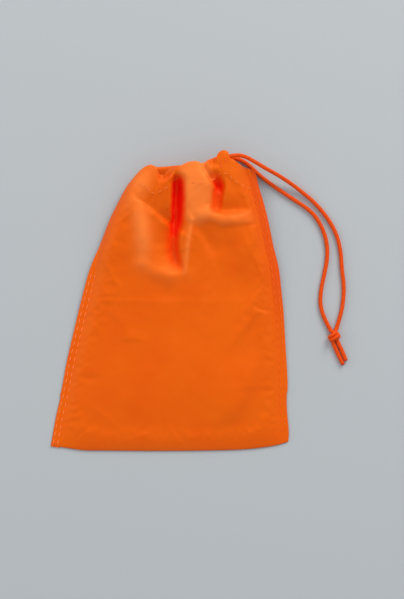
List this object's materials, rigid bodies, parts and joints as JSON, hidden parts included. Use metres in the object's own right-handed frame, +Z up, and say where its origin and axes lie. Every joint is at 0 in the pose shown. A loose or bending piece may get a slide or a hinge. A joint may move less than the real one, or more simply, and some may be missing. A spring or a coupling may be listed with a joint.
{
  "type": "stuff sack",
  "caption": "Small flat-cut coated nylon sack with twin-stitched side seams and a hem channel that a knotted drawcord gathers shut.",
  "frame": {"origin": "on the floor under the middle of the sack, without its free cord", "axes": "+X across the sack towards the cord's way out, +Y from the bottom fold to the mouth, +Z up from the floor"},
  "size_m": [0.186, 0.189, 0.0151],
  "materials": {
    "cloth": "thin plain-weave nylon, coated inside, slight sheen",
    "thread": "polyester sewing thread",
    "cord": "braided polyester cord",
    "cord_tip": "melted cord end"
  },
  "bodies": {
    "sack": {"front_panel": "cloth", "back_panel": "cloth", "left_seam": "cloth", "right_seam": "cloth", "front_casing": "cloth", "back_casing": "cloth", "left_outer_stitches": "thread", "left_inner_stitches": "thread", "right_outer_stitches": "thread", "right_inner_stitches": "thread", "front_hem_stitches": "thread", "back_hem_stitches": "thread", "exit_bar_tacks": "thread"},
    "mouth_far_side": {"casing_far_end": "cloth"},
    "drawcord": {"channel_cord": "cord", "outer_leg": "cord", "inner_leg": "cord", "knot": "cord", "tail_a": "cord", "tail_b": "cord", "tail_a_tip": "cord_tip", "tail_b_tip": "cord_tip"}
  },
  "joints": [
    {"name": "drawcord_slide", "type": "slide", "parent": "sack", "child": "drawcord", "axis": [0.9744, 0.225, 0], "range_m": [-0.008, 0.02]},
    {"name": "mouth_gather", "type": "slide", "parent": "sack", "child": "mouth_far_side", "axis": [0.9744, 0.225, 0], "range_m": [-0.008, 0.02], "deforming": ["front_casing", "back_casing", "front_hem_stitches", "back_hem_stitches"]}
  ],
  "couplings": [
    {"joint": "mouth_gather", "follows": "drawcord_slide", "ratio": 1}
  ]
}
